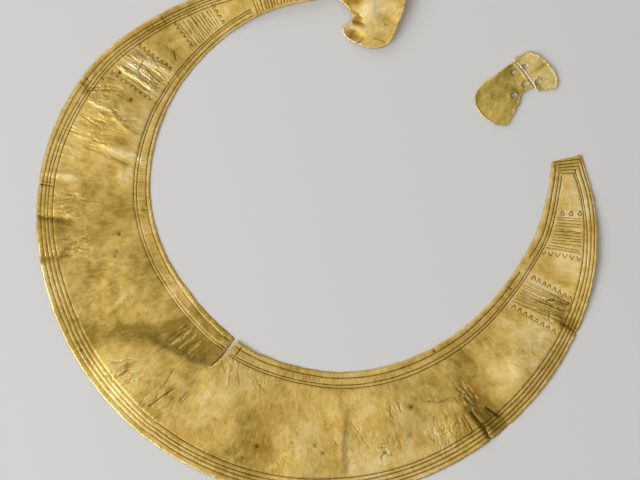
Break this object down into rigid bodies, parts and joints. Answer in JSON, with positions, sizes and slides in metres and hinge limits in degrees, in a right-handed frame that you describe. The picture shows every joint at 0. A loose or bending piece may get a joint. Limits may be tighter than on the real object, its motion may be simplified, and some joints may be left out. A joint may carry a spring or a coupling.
{
  "type": "gold lunula",
  "caption": "Thin crescent collar of hammered gold, engraved along its edges, with one terminal in place and the other snapped off and lying beside it.",
  "frame": {"origin": "centre of the whole part's footprint, on the surface that it lies on", "axes": "+Z out of the engraved face, +X along the width, towards the broken horn, +Y from the widest place of the crescent towards the horns"},
  "size_m": [0.2182, 0.2112, 0.0068],
  "materials": {
    "gold_sheet": "hammered gold sheet, satin, with orange-brown staining",
    "terminal_gold": "thicker gold plate, satin"
  },
  "bodies": {
    "root": {"lunula_sheet": "gold_sheet", "terminal_fragment_large": "terminal_gold", "terminal_fragment_small": "terminal_gold"}
  },
  "joints": []
}
